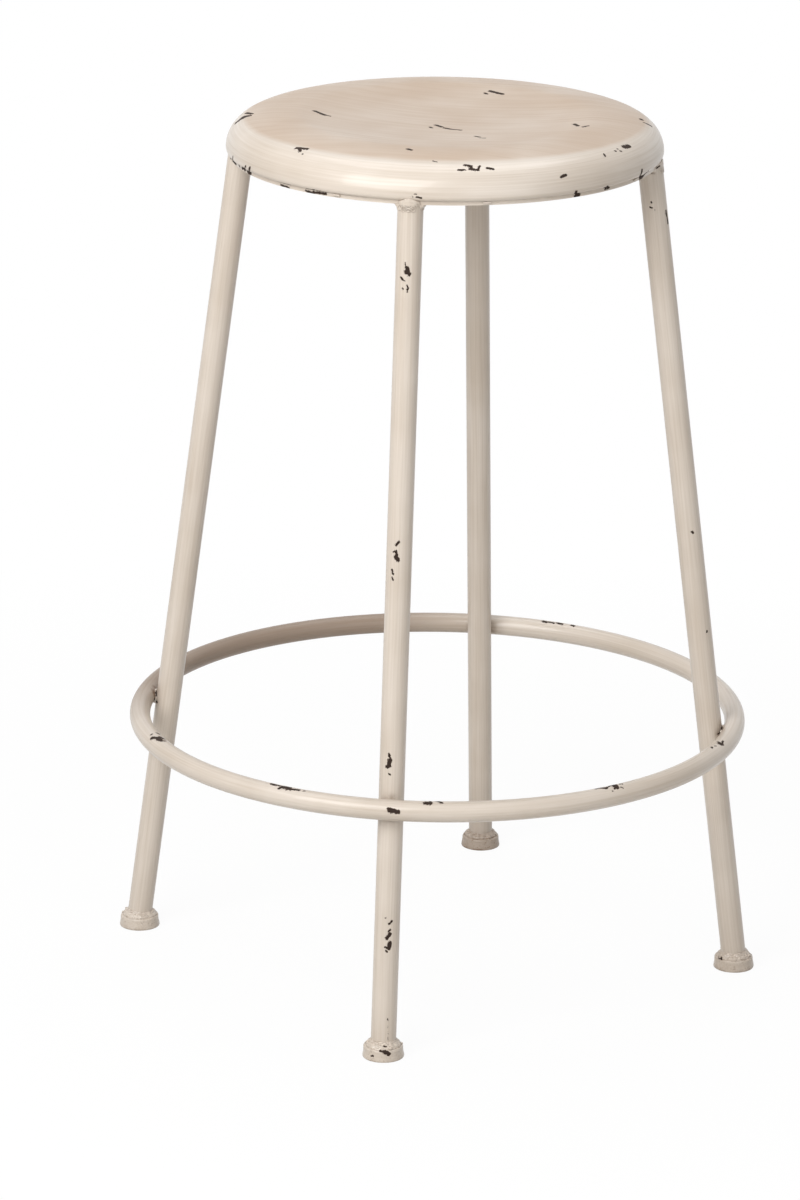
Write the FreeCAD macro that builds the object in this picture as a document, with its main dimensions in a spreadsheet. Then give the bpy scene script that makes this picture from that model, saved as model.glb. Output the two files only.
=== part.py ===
import FreeCAD, Part
import math
import os
import Sketcher

# A welded tubular steel stool: a round dished seat pan on a flat ring, four splayed tube legs,
# a foot ring welded round the outside of the legs, and a round steel foot under each leg.
# Frame: +Z up, millimetres, origin on the floor under the middle of the seat.

# Driving sizes, in millimetres unless the note says otherwise
DRIVING_SIZES = [
    # name, value, what it is
    ("overall_height", 700, "floor to the highest line of the seat"),
    ("seat_diameter", 346, "widest part of the seat pan"),
    ("shoulder_width", 53, "from the seat's highest line out to its widest part"),
    ("shoulder_radius", 145, "gentle fall of the shoulder"),
    ("corner_radius", 23, "turn from the shoulder down into the skirt"),
    ("tuck_radius", 3.75, "turn of the skirt in under the seat"),
    ("crown_radius", 60, "roll from the dish over to the shoulder"),
    ("dish_depth", 9, "middle of the seat below its highest line"),
    ("pan_thickness", 1.5, "steel sheet of the pan"),
    ("flange_width", 8, "flat edge of the pan that lies on the seat ring"),
    ("seat_ring_inset", 3.5, "seat ring's edge inside the seat's widest part"),
    ("seat_ring_width", 25, "flat bar of the seat ring"),
    ("seat_ring_thickness", 3, "flat bar of the seat ring"),
    ("leg_diameter", 20, "tube of the legs"),
    ("leg_wall", 1.5, "tube of the legs"),
    ("leg_stand_out", 0.4, "leg's outer face outside the seat's widest part"),
    ("foot_ring_diameter", 500, "outside of the foot ring"),
    ("foot_ring_tube", 16.5, "tube of the foot ring"),
    ("foot_ring_wall", 1.5, "tube of the foot ring"),
    ("foot_ring_height", 202, "floor to the middle of the foot ring's tube"),
    ("root_gap", 0.2, "between a leg and the foot ring, which the weld fills"),
    ("foot_height", 9.5, "round foot under a leg"),
    ("foot_shelf", 5.75, "foot's top edge outside the leg"),
    ("foot_flare", 0.75, "foot's bottom edge outside its top edge"),
    ("foot_top_round", 1.5, "rounded upper edge of a foot"),
    ("foot_bottom_round", 0.6, "rounded lower edge of a foot"),
    ("weld_swell", 0.7, "seat weld's thickness over a leg's outer face"),
    ("weld_reach", 3.2, "ball that rounds off the seat weld's swell, outside the leg"),
    ("weld_rise", 1, "middle of that ball above the seat ring's underside"),
    ("weld_toe", 3.4, "seat weld's width under the seat ring"),
    ("weld_drop", 4.6, "seat weld's length down the leg"),
    ("weld_overrun", 0.5, "share by which that weld's cone runs on past the slanted joint"),
    ("ring_weld_radius", 6, "weld where a leg touches the foot ring"),
    ("foot_weld_radius", 3, "bead round the leg on top of its foot"),
    ("foot_weld_stand_off", 1.3, "middle of that bead outside the leg"),
    ("foot_weld_rise", 0.5, "middle of that bead above the foot"),
    ("tack_radius", 1.6, "small weld between the pan and the seat ring"),
    ("tack_length", 7, "small weld between the pan and the seat ring"),
    ("tack_drop", 0.8, "middle of a small weld below the top of the seat ring"),
    ("tack_stand_off", 0.5, "middle of a small weld outside the seat ring's edge"),
    ("tack_spread", 20, "angle from a leg to the small welds beside it, in degrees"),
]

# The way each leg stands out from the middle of the seat, in degrees from +X
LEG_ANGLES = {"front": 225, "right": 315, "back": 45, "left": 135}

# Sizes that follow from the driving ones
DERIVED_SIZES = [
    ("seat_radius", "size.seat_diameter / 2"),
    ("crown_line_radius", "derived.seat_radius - size.shoulder_width"),
    ("dish_angle", "2 * atan(size.dish_depth / derived.crown_line_radius)"),
    ("dish_radius", "derived.crown_line_radius / sin(derived.dish_angle) - size.crown_radius"),
    ("shoulder_angle", "asin((size.shoulder_width - size.corner_radius)"
                       " / (size.shoulder_radius - size.corner_radius))"),
    ("widest_height", "size.overall_height - size.shoulder_radius * (1 - cos(derived.shoulder_angle))"
                      " - size.corner_radius * cos(derived.shoulder_angle)"),
    ("seat_ring_top", "derived.widest_height - size.tuck_radius"),
    ("seat_ring_bottom", "derived.seat_ring_top - size.seat_ring_thickness"),
    ("seat_ring_radius", "derived.seat_radius - size.seat_ring_inset"),
    ("leg_radius", "size.leg_diameter / 2"),
    ("foot_ring_tube_radius", "size.foot_ring_tube / 2"),
    ("foot_ring_radius", "size.foot_ring_diameter / 2 - derived.foot_ring_tube_radius"),
    ("leg_top_out", "derived.seat_radius + size.leg_stand_out - derived.leg_radius"),
    # A leg's middle line runs from the seat ring past the inside of the foot ring. Seen from the
    # side, the two tubes' middles are contact_distance apart there, square to the leg.
    ("ring_from_top_out", "derived.foot_ring_radius - derived.leg_top_out"),
    ("ring_from_top_down", "derived.seat_ring_bottom - size.foot_ring_height"),
    ("contact_distance", "derived.leg_radius + size.root_gap + derived.foot_ring_tube_radius"),
    ("leg_tilt", "acos(derived.contact_distance"
                 " / sqrt(derived.ring_from_top_out ^ 2 + derived.ring_from_top_down ^ 2))"
                 " - atan(derived.ring_from_top_down / derived.ring_from_top_out)"),
    ("leg_foot_out", "derived.leg_top_out"
                     " + (derived.seat_ring_bottom - size.foot_height) * tan(derived.leg_tilt)"),
    ("leg_length", "(derived.seat_ring_bottom - size.foot_height) / cos(derived.leg_tilt)"),
    # A leg's bar is this much longer at each end before its ends are cut level
    ("end_allowance", "size.leg_diameter"),
    ("ring_weld_offset", "derived.foot_ring_tube_radius + size.root_gap / 2"),
    ("ring_weld_out", "derived.foot_ring_radius - derived.ring_weld_offset * cos(derived.leg_tilt)"),
    ("ring_weld_height", "size.foot_ring_height - derived.ring_weld_offset * sin(derived.leg_tilt)"),
    ("foot_top_radius", "derived.leg_radius + size.foot_shelf"),
    ("foot_bottom_radius", "derived.foot_top_radius + size.foot_flare"),
]

doc = FreeCAD.newDocument("stool")
size = doc.addObject("Spreadsheet::Sheet", "size")
for row, (alias, amount, _) in enumerate(DRIVING_SIZES, start=1):
    size.set(f"A{row}", str(amount))
    size.setAlias(f"A{row}", alias)
doc.recompute()

derived = doc.addObject("App::VarSet", "derived")
for name, expression in DERIVED_SIZES:
    derived.addProperty("App::PropertyFloat", name, "Derived", "")
    derived.setExpression(name, expression)
doc.recompute()


def number(expression):
    """The number that an expression gives with the sizes as they are."""
    result = size.evalExpression(expression)
    return float(getattr(result, "Value", result))


def bind(thing, **expressions):
    """Bind properties of an object to expressions of the sizes."""
    for name, expression in expressions.items():
        thing.setExpression(name, expression)
    return thing


def place(x="0", y="0", z="0", turn="0", tilt="0"):
    """An expression for a placement: turned about Z, then leaned about the turned Y."""
    return f"placement(vector({x}; {y}; {z}); rotation({turn}; {tilt}; 0))"


def out_along(angle, distance, z, tilt="0"):
    """A placement that stands out from the middle by a distance, in a leg's direction."""
    return place(f"({distance}) * cos({angle})", f"({distance}) * sin({angle})", z, str(angle), tilt)


def primitive(kind, name, placement=None, **sizes):
    """A simple solid, with its sizes and its placement bound to expressions."""
    solid = bind(doc.addObject(f"Part::{kind}", name), **sizes)
    if placement:
        solid.setExpression("Placement", placement)
    return solid


def combine(kind, name, first, second):
    """The cut, common or fuse of two objects."""
    result = doc.addObject(f"Part::{kind}", name)
    result.Base = first
    result.Tool = second
    return result


def cut_all(name, first, *tools):
    """First with each of the tools taken away in turn."""
    result = first
    for count, tool in enumerate(tools, start=1):
        last = count == len(tools)
        result = combine("Cut", name if last else f"{name}_step_{count}", result, tool)
    return result


def new_body(name):
    return doc.addObject("PartDesign::Body", name)


def new_sketch(body, name, plane):
    """A sketch on one of a body's own origin planes."""
    sketch = body.newObject("Sketcher::SketchObject", name)
    for feature in body.Origin.OriginFeatures:
        if feature.Role == plane:
            sketch.AttachmentSupport = [(feature, "")]
    sketch.MapMode = "FlatFace"
    return sketch


def dimension(sketch, name, kind, where, expression):
    """A named dimension of a sketch, bound to an expression."""
    index = sketch.addConstraint(Sketcher.Constraint(kind, *where, number(expression)))
    sketch.renameConstraint(index, name)
    sketch.setExpression(f"Constraints.{name}", expression)


def revolve(body, sketch, name):
    """The sketch turned once round its own vertical axis."""
    turned = body.newObject("PartDesign::Revolution", name)
    turned.Profile = sketch
    turned.ReferenceAxis = (sketch, ["V_Axis"])
    turned.Angle = 360
    return turned


# Points of a sketch's lines and arcs, and the sketch's own origin and upright axis
START, END, CENTRE = 1, 2, 3
ORIGIN = (-1, 1)
VERTICAL_AXIS = -2

# How far an edge may be off a level, in millimetres, and still lie on it
LEVEL_TOLERANCE = 0.01


def arc(sketch, x, z, radius, first, last):
    """An arc about a centre, between two angles in degrees."""
    circle = Part.Circle(FreeCAD.Vector(x, z, 0), FreeCAD.Vector(0, 0, 1), radius)
    return sketch.addGeometry(Part.ArcOfCircle(circle, math.radians(first), math.radians(last)))


def line(sketch, x1, z1, x2, z2):
    return sketch.addGeometry(Part.LineSegment(FreeCAD.Vector(x1, z1, 0), FreeCAD.Vector(x2, z2, 0)))


def make_seat_pan():
    """The pressed pan: one half section of sheet, turned round the middle of the seat."""
    body = new_body("seat_pan")
    sketch = new_sketch(body, "seat_pan_section", "XZ_Plane")
    height = number("size.overall_height")
    sheet = number("size.pan_thickness")
    seat = number("derived.seat_radius")
    crown_line = number("derived.crown_line_radius")
    crown = number("size.crown_radius")
    shoulder = number("size.shoulder_radius")
    corner = number("size.corner_radius")
    tuck = number("size.tuck_radius")
    dish = number("derived.dish_radius")
    dish_low = height - number("size.dish_depth")
    dish_angle = number("derived.dish_angle")
    shoulder_angle = number("derived.shoulder_angle")
    widest = number("derived.widest_height")
    hem = number("derived.seat_ring_top")
    flange = seat - tuck - number("size.flange_width")

    # Upper face from the middle outwards, then the same arcs one sheet thickness inside
    faces = []
    for inside in (0, sheet):
        faces.append({
            "dish": arc(sketch, 0, dish_low + dish, dish + inside, -90, -90 + dish_angle),
            "crown": arc(sketch, crown_line, height - crown, crown - inside, 90, 90 + dish_angle),
            "shoulder": arc(sketch, crown_line, height - shoulder, shoulder - inside,
                            90 - shoulder_angle, 90),
            "corner": arc(sketch, seat - corner, widest, corner - inside, 0, 90 - shoulder_angle),
            "tuck": arc(sketch, seat - tuck, widest, tuck - inside, -90, 0),
        })
    upper, lower = faces
    flange_under = line(sketch, seat - tuck, hem, flange, hem)
    flange_end = line(sketch, flange, hem, flange, hem + sheet)
    flange_over = line(sketch, flange, hem + sheet, seat - tuck, hem + sheet)
    middle = line(sketch, 0, dish_low - sheet, 0, dish_low)

    def join(kind, *where):
        sketch.addConstraint(Sketcher.Constraint(kind, *where))

    for face in faces:
        join("Tangent", face["dish"], END, face["crown"], END)
        join("Tangent", face["crown"], START, face["shoulder"], END)
        join("Tangent", face["shoulder"], START, face["corner"], END)
        join("Tangent", face["corner"], START, face["tuck"], END)
        join("PointOnObject", face["dish"], START, VERTICAL_AXIS)
    for name in upper:
        join("Coincident", lower[name], CENTRE, upper[name], CENTRE)
    join("PointOnObject", upper["dish"], CENTRE, VERTICAL_AXIS)
    join("Vertical", upper["crown"], CENTRE, upper["shoulder"], CENTRE)
    join("Horizontal", upper["corner"], CENTRE, upper["tuck"], CENTRE)
    join("Tangent", upper["tuck"], START, flange_under, START)
    join("Tangent", lower["tuck"], START, flange_over, END)
    join("Coincident", flange_under, END, flange_end, START)
    join("Coincident", flange_end, END, flange_over, START)
    join("Horizontal", flange_under)
    join("Vertical", flange_end)
    join("Horizontal", flange_over)
    join("Coincident", lower["dish"], START, middle, START)
    join("Coincident", middle, END, upper["dish"], START)

    dimension(sketch, "height", "DistanceY", (*ORIGIN, upper["crown"], START), "size.overall_height")
    dimension(sketch, "crown_line", "DistanceX", (*ORIGIN, upper["crown"], START),
              "derived.crown_line_radius")
    dimension(sketch, "depth", "DistanceY", (upper["dish"], START, upper["crown"], START),
              "size.dish_depth")
    dimension(sketch, "widest", "DistanceX", (*ORIGIN, upper["corner"], START), "derived.seat_radius")
    dimension(sketch, "crown", "Radius", (upper["crown"],), "size.crown_radius")
    dimension(sketch, "shoulder", "Radius", (upper["shoulder"],), "size.shoulder_radius")
    dimension(sketch, "corner", "Radius", (upper["corner"],), "size.corner_radius")
    dimension(sketch, "tuck", "Radius", (upper["tuck"],), "size.tuck_radius")
    dimension(sketch, "flange", "DistanceX", (flange_under, END, flange_under, START),
              "size.flange_width")
    dimension(sketch, "thickness", "DistanceY", (lower["dish"], START, upper["dish"], START),
              "size.pan_thickness")
    revolve(body, sketch, "seat_pan_turned")
    return body


def make_seat_inside():
    """A helper that fills the pan up to the middle of its sheet, so that no weld lies inside it."""
    bend = "(derived.seat_radius - size.tuck_radius)"
    below = primitive(
        "Cylinder", "inside_below", place(z="derived.seat_ring_bottom"),
        Radius=bend, Height="derived.widest_height - derived.seat_ring_bottom",
    )
    turn = primitive(
        "Torus", "inside_turn", place(z="derived.widest_height"),
        Radius1=bend, Radius2="size.tuck_radius - size.pan_thickness / 2",
    )
    above = primitive(
        "Cylinder", "inside_above", place(z="derived.widest_height"),
        Radius="derived.seat_radius - size.pan_thickness / 2",
        Height="size.overall_height - derived.widest_height",
    )
    inside = doc.addObject("Part::MultiFuse", "seat_inside")
    inside.Shapes = [below, turn, above]
    return inside


def two_circles(sketch, x, z, outer, inner):
    """Two circles with one centre, their radii bound to expressions."""
    centre = FreeCAD.Vector(number(x), number(z), 0)
    circles = [
        sketch.addGeometry(Part.Circle(centre, FreeCAD.Vector(0, 0, 1), number(radius)))
        for radius in (outer, inner)
    ]
    sketch.addConstraint(Sketcher.Constraint("Coincident", circles[0], CENTRE, circles[1], CENTRE))
    if x == "0" and z == "0":
        sketch.addConstraint(Sketcher.Constraint("Coincident", circles[0], CENTRE, *ORIGIN))
    else:
        dimension(sketch, "centre_out", "DistanceX", (*ORIGIN, circles[0], CENTRE), x)
        dimension(sketch, "centre_up", "DistanceY", (*ORIGIN, circles[0], CENTRE), z)
    dimension(sketch, "outer", "Radius", (circles[0],), outer)
    dimension(sketch, "inner", "Radius", (circles[1],), inner)


def make_seat_ring():
    """The flat ring under the pan, cut from plate, which carries the legs."""
    body = new_body("seat_ring")
    sketch = new_sketch(body, "seat_ring_outline", "XY_Plane")
    two_circles(sketch, "0", "0", "derived.seat_ring_radius",
                "derived.seat_ring_radius - size.seat_ring_width")
    bind(sketch, **{".AttachmentOffset.Base.z": "derived.seat_ring_bottom"})
    plate = body.newObject("PartDesign::Pad", "seat_ring_plate")
    plate.Profile = sketch
    bind(plate, Length="size.seat_ring_thickness")
    return body


def make_foot_ring():
    """The round tube bent to a hoop, which goes round the outside of the legs."""
    body = new_body("foot_ring")
    sketch = new_sketch(body, "foot_ring_section", "XZ_Plane")
    two_circles(sketch, "derived.foot_ring_radius", "size.foot_ring_height",
                "derived.foot_ring_tube_radius", "derived.foot_ring_tube_radius - size.foot_ring_wall")
    revolve(body, sketch, "foot_ring_hoop")
    return body


def make_foot(side, angle):
    """A turned steel foot, slightly wider at the floor, with its edges rounded."""
    body = new_body(f"foot_{side}")
    sketch = new_sketch(body, f"foot_{side}_section", "XZ_Plane")
    low = number("derived.foot_bottom_radius")
    top = number("derived.foot_top_radius")
    height = number("size.foot_height")
    floor = line(sketch, 0, 0, low, 0)
    flank = line(sketch, low, 0, top, height)
    upper = line(sketch, top, height, 0, height)
    middle = line(sketch, 0, height, 0, 0)
    edges = [floor, flank, upper, middle]
    for first, second in zip(edges, edges[1:] + edges[:1]):
        sketch.addConstraint(Sketcher.Constraint("Coincident", first, END, second, START))
    sketch.addConstraint(Sketcher.Constraint("Coincident", floor, START, *ORIGIN))
    sketch.addConstraint(Sketcher.Constraint("Horizontal", floor))
    sketch.addConstraint(Sketcher.Constraint("Horizontal", upper))
    sketch.addConstraint(Sketcher.Constraint("Vertical", middle))
    dimension(sketch, "low", "DistanceX", (floor, START, floor, END), "derived.foot_bottom_radius")
    dimension(sketch, "top", "DistanceX", (upper, END, upper, START), "derived.foot_top_radius")
    dimension(sketch, "height", "DistanceY", (middle, END, middle, START), "size.foot_height")
    revolve(body, sketch, f"foot_{side}_turned")
    doc.recompute()
    for end, level, radius in (("top", height, "size.foot_top_round"),
                               ("bottom", 0, "size.foot_bottom_round")):
        base = body.Tip
        circle = [
            f"Edge{count}" for count, edge in enumerate(base.Shape.Edges, start=1)
            if edge.BoundBox.ZLength < LEVEL_TOLERANCE
            and abs(edge.BoundBox.ZMin - level) < LEVEL_TOLERANCE
        ]
        rounded = body.newObject("PartDesign::Fillet", f"foot_{side}_{end}_round")
        rounded.Base = (base, circle)
        bind(rounded, Radius=radius)
        doc.recompute()
    body.setExpression("Placement", out_along(angle, "derived.leg_foot_out", "0"))
    return body


def along_leg(angle, distance="0"):
    """A placement on a leg's middle line, a distance up it from the top of its foot."""
    return out_along(
        angle,
        f"derived.leg_foot_out - ({distance}) * sin(derived.leg_tilt)",
        f"size.foot_height + ({distance}) * cos(derived.leg_tilt)",
        "0 - derived.leg_tilt",
    )


def make_leg_rod(side, angle, room):
    """A leg as a solid bar, cut level where it meets its foot and the seat ring."""
    rod = primitive(
        "Cylinder", f"bar_{side}", along_leg(angle, "0 - derived.end_allowance"),
        Radius="derived.leg_radius", Height="derived.leg_length + 2 * derived.end_allowance",
    )
    return combine("Common", f"rod_{side}", rod, room)


def make_leg(side, angle, rod):
    """The leg's tube: its bar with the bore taken out."""
    bore = primitive(
        "Cylinder", f"bore_{side}", along_leg(angle, "0 - derived.end_allowance"),
        Radius="derived.leg_radius - size.leg_wall",
        Height="derived.leg_length + 2 * derived.end_allowance",
    )
    return combine("Cut", f"leg_{side}", rod, bore)


def make_seat_weld(side, angle, rod, solids):
    """The weld that closes a leg's end, fills the corner under the seat ring and
    climbs over the ring's edge onto the skirt of the pan."""
    ball_radius = "(derived.leg_radius + size.weld_reach)"
    swell = primitive(
        "Cylinder", f"seat_weld_swell_{side}", along_leg(angle, f"derived.leg_length - {ball_radius}"),
        Radius="derived.leg_radius + size.weld_swell", Height=f"2 * {ball_radius}",
    )
    ball = primitive(
        "Sphere", f"seat_weld_ball_{side}",
        along_leg(angle, "derived.leg_length + size.weld_rise"), Radius=ball_radius,
    )
    # The cone runs on past the seat ring's underside, because the leg meets it at a slant
    toe = primitive(
        "Cone", f"seat_weld_toe_{side}", along_leg(angle, "derived.leg_length - size.weld_drop"),
        Radius1="derived.leg_radius",
        Radius2="derived.leg_radius + size.weld_toe * (1 + size.weld_overrun)",
        Height="size.weld_drop * (1 + size.weld_overrun)",
    )
    under = combine("Common", f"seat_weld_under_{side}", toe, solids["under_ring"])
    over = combine("Common", f"seat_weld_over_{side}", swell, ball)
    blank = combine("Fuse", f"seat_weld_blank_{side}", over, under)
    return cut_all(f"seat_weld_{side}", blank, solids["seat_inside"], rod, solids["seat_ring"],
                   solids["seat_pan"])


def make_ring_weld(side, angle, rod, solids):
    """The weld in the crevice where a leg and the foot ring touch."""
    ball = primitive(
        "Sphere", f"ring_weld_ball_{side}",
        out_along(angle, "derived.ring_weld_out", "derived.ring_weld_height"),
        Radius="size.ring_weld_radius",
    )
    return cut_all(f"ring_weld_{side}", ball, rod, solids["foot_ring_bar"])


def make_foot_weld(side, angle, rod, foot):
    """The bead round a leg on top of its foot."""
    bead = primitive(
        "Torus", f"foot_weld_bead_{side}",
        out_along(angle, "derived.leg_foot_out", "size.foot_height + size.foot_weld_rise"),
        Radius1="derived.leg_radius + size.foot_weld_stand_off", Radius2="size.foot_weld_radius",
    )
    return cut_all(f"foot_weld_{side}", bead, rod, foot)


def make_tacks(solids):
    """The short welds in the seam between the pan and the seat ring, one each side of a leg."""
    sweep = "(180 * size.tack_length / (pi * derived.seat_ring_radius))"
    beads = []
    for side, angle in LEG_ANGLES.items():
        for way, sign in (("before", "-"), ("after", "+")):
            middle = f"({angle} {sign} size.tack_spread)"
            beads.append(primitive(
                "Torus", f"tack_{side}_{way}",
                place(z="derived.seat_ring_top - size.tack_drop", turn=f"{middle} - {sweep} / 2"),
                Radius1="derived.seat_ring_radius + size.tack_stand_off",
                Radius2="size.tack_radius", Angle3=sweep,
            ))
    group = doc.addObject("Part::MultiFuse", "tack_beads")
    group.Shapes = beads
    return cut_all("pan_tacks", group, solids["seat_pan"], solids["seat_ring"])


def main():
    solids = {
        "seat_pan": make_seat_pan(),
        "seat_ring": make_seat_ring(),
        "foot_ring": make_foot_ring(),
    }
    doc.recompute()

    # Helpers that shape the legs and welds: the room between the feet and the seat ring, the
    # space inside the pan, the room under the seat ring's face, and the foot ring as a solid bar
    room = primitive(
        "Cylinder", "room_for_legs", place(z="size.foot_height"),
        Radius="size.foot_ring_diameter + derived.seat_radius",
        Height="derived.seat_ring_bottom - size.foot_height",
    )
    solids["seat_inside"] = make_seat_inside()
    solids["under_ring"] = primitive(
        "Cylinder", "under_ring", place(z="derived.seat_ring_bottom - size.leg_diameter"),
        Radius="derived.seat_ring_radius", Height="size.leg_diameter",
    )
    solids["foot_ring_bar"] = primitive(
        "Torus", "foot_ring_bar", place(z="size.foot_ring_height"),
        Radius1="derived.foot_ring_radius", Radius2="derived.foot_ring_tube_radius",
    )

    sub_parts = [solids["seat_pan"], solids["seat_ring"], solids["foot_ring"], make_tacks(solids)]
    for side, angle in LEG_ANGLES.items():
        rod = make_leg_rod(side, angle, room)
        foot = make_foot(side, angle)
        sub_parts += [
            make_leg(side, angle, rod),
            foot,
            make_seat_weld(side, angle, rod, solids),
            make_ring_weld(side, angle, rod, solids),
            make_foot_weld(side, angle, rod, foot),
        ]
    doc.recompute()

    for thing in doc.Objects:
        if "Invalid" in thing.State or "Error" in thing.State:
            raise RuntimeError(f"{thing.Name} failed: {thing.State}")
    for part in sub_parts:
        part.Label = part.Name
        if part.Shape.isNull() or not part.Shape.isValid() or not part.Shape.Solids:
            raise RuntimeError(f"{part.Label} has no valid solid")

    os.makedirs("parts", exist_ok=True)
    for part in sub_parts:
        shape = part.Shape
        shape.exportStep(f"parts/{part.Label}.step")
        box = shape.BoundBox
        print(f"{part.Label:18s} solids {len(shape.Solids)}  volume {shape.Volume:10.1f}  "
              f"z {box.ZMin:7.2f} to {box.ZMax:7.2f}")
    print("leg tilt", round(number("derived.leg_tilt"), 3), "degrees")


main()
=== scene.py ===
# %% [markdown]
# A stool of welded steel tube with a round pressed seat, painted in a glossy cream enamel that
# was then rubbed and chipped so that it looks old. Its construction is already made at its real
# size, as a fixed frame of named pieces. This lesson gives those pieces their looks: it turns
# the seat and the feet again with the small unevenness of handwork, melts lumpy weld beads over
# the plain ones, and mixes the worn enamel. Lengths are in metres.

import math
import random

import bmesh
import bpy
from mathutils import Matrix, Vector
from mathutils.bvhtree import BVHTree


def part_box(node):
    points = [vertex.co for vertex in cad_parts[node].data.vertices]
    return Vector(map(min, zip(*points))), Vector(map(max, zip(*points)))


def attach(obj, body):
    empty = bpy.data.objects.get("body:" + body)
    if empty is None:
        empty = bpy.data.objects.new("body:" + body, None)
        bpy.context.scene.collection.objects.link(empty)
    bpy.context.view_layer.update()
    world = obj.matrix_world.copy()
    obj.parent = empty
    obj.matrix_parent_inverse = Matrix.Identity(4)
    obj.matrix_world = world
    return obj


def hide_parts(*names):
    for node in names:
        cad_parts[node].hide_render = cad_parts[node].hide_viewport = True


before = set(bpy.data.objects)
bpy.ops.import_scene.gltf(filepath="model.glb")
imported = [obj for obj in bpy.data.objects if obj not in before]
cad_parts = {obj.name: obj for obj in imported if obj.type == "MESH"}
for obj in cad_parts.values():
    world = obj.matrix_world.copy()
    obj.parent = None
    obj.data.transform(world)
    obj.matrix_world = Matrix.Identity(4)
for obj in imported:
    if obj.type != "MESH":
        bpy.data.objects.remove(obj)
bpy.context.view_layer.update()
MM = 0.001
SIDES = ("front", "right", "back", "left")
print("pieces in the frame:", len(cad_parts))

# %% [markdown]
# Every picture that follows is made of nodes, and a node tree is quicker to read when each node
# takes one line. One small function adds a node of any kind: settings go in as keywords, and a
# dictionary says what each input gets. A socket or a node there is linked, a list is linked item
# by item, and anything else is the input's own value. The kinds of node that come up most have
# a short name.

# %% Helpers for node trees and objects
MATH, VECTORS = "ShaderNodeMath", "ShaderNodeVectorMath"
MIX, MAP_RANGE, NOISE = "ShaderNodeMix", "ShaderNodeMapRange", "ShaderNodeTexNoise"


def source_of(thing):
    """The socket that a link starts from: a node stands for its first output."""
    return thing.outputs[0] if isinstance(thing, bpy.types.Node) else thing


def add(tree, kind, inputs=None, **settings):
    """Adds a node to a tree, with its settings, and links or sets its inputs."""
    node = tree.nodes.new(kind)
    for name, value in settings.items():
        setattr(node, name, value)
    for name, value in (inputs or {}).items():
        if isinstance(value, (bpy.types.Node, bpy.types.NodeSocket, list)):
            for item in value if isinstance(value, list) else [value]:
                tree.links.new(source_of(item), node.inputs[name])
        else:
            node.inputs[name].default_value = value
    return node


def emptied(owner):
    """The node tree of a new material or world, with nothing in it."""
    owner.use_nodes = True
    owner.node_tree.nodes.clear()
    return owner.node_tree


def new_object(name, data):
    """An object in the scene for a mesh, a lamp or a camera."""
    thing = bpy.data.objects.new(name, data)
    bpy.context.scene.collection.objects.link(thing)
    return thing


def linear(hex_colour):
    """An sRGB colour, written as hex, turned to the linear values that nodes use."""
    channels = [int(hex_colour[start:start + 2], 16) / 255 for start in (0, 2, 4)]
    return (*[c / 12.92 if c <= 0.04045 else ((c + 0.055) / 1.055) ** 2.4 for c in channels], 1.0)


def per(size_in_mm):
    """How many times a size in millimetres goes into a metre, for the scale of a pattern."""
    return 1 / (size_in_mm * MM)


# %% [markdown]
# The camera stands where the photographer stood. Its height, distance and lens came from fitting
# the outlines of the legs, hoop and seat, so a long lens of 175 mm from four and a half metres
# away gives the photograph's flat perspective. Turning by hand would work too, but then nothing
# listed by its pixels would line up.

# %% The camera
PHOTO_WIDTH, PHOTO_HEIGHT = 800, 1200
CAMERA_BEARING = math.radians(-126.002)
CAMERA_DISTANCE = 4.4969
CAMERA_HEIGHT = 1.7121
CAMERA_DOWN = math.radians(17.4615)
CAMERA_ASIDE = math.radians(-0.400)
CAMERA_ROLL = math.radians(0.657)
FOCAL_MM = 174.79
SENSOR_MM = 36
FOCAL_PIXELS = FOCAL_MM / SENSOR_MM * PHOTO_HEIGHT

to_stool = Matrix.Rotation(CAMERA_BEARING + math.pi / 2, 3, "Z")
ahead = to_stool @ Vector((
    math.sin(CAMERA_ASIDE) * math.cos(CAMERA_DOWN),
    math.cos(CAMERA_ASIDE) * math.cos(CAMERA_DOWN),
    -math.sin(CAMERA_DOWN),
))
level_right = to_stool @ Vector((math.cos(CAMERA_ASIDE), -math.sin(CAMERA_ASIDE), 0))
level_up = level_right.cross(ahead)
right = level_right * math.cos(CAMERA_ROLL) + level_up * math.sin(CAMERA_ROLL)
up = right.cross(ahead)
camera_place = to_stool @ Vector((0, -CAMERA_DISTANCE, CAMERA_HEIGHT))

camera_data = bpy.data.cameras.new("camera")
camera_data.sensor_fit = "VERTICAL"
camera_data.sensor_height = SENSOR_MM
camera_data.lens = FOCAL_MM
camera = new_object("camera", camera_data)
camera.matrix_world = Matrix.Translation(camera_place) @ Matrix((right, up, -ahead)).transposed().to_4x4()
bpy.context.scene.camera = camera
print("camera at", [round(value, 3) for value in camera_place])

# %% [markdown]
# The stool stands on a white sweep in a studio tent. A tent could be built, but a white world
# does the same: what the camera or a reflection sees of it is plain white, while the light that
# it sends onto the stool is a set, weaker strength. The floor shows white in the same way, mixed
# near the stool with a little of its real shading, which keeps a soft shadow under the feet. The
# light that it throws back up is that of a duller paper, so the undersides stay in shade.

# %% The floor and the white world
WHITE = linear("FFFFFF")
PAPER_LIT = linear("FBFBFA")
PAPER_BOUNCE = linear("CECBC6")
FLOOR_HALF = 9.0
FLOOR_LEVEL = -0.2 * MM
GLOW_NEAR, GLOW_FAR = 0.93, 1.0
SHADOW_REACH, SHADOW_END = 0.45, 1.1
TENT_LIGHT = 0.27


def seen_directly(tree):
    """1 for a ray from the camera, a reflection or a transmission, and 0 for scattered light."""
    path = add(tree, "ShaderNodeLightPath")
    gloss = add(tree, MATH, {0: path.outputs["Is Camera Ray"],
                                         1: path.outputs["Is Glossy Ray"]}, operation="MAXIMUM")
    return add(tree, MATH, {0: gloss, 1: path.outputs["Is Transmission Ray"]}, operation="MAXIMUM")


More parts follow.
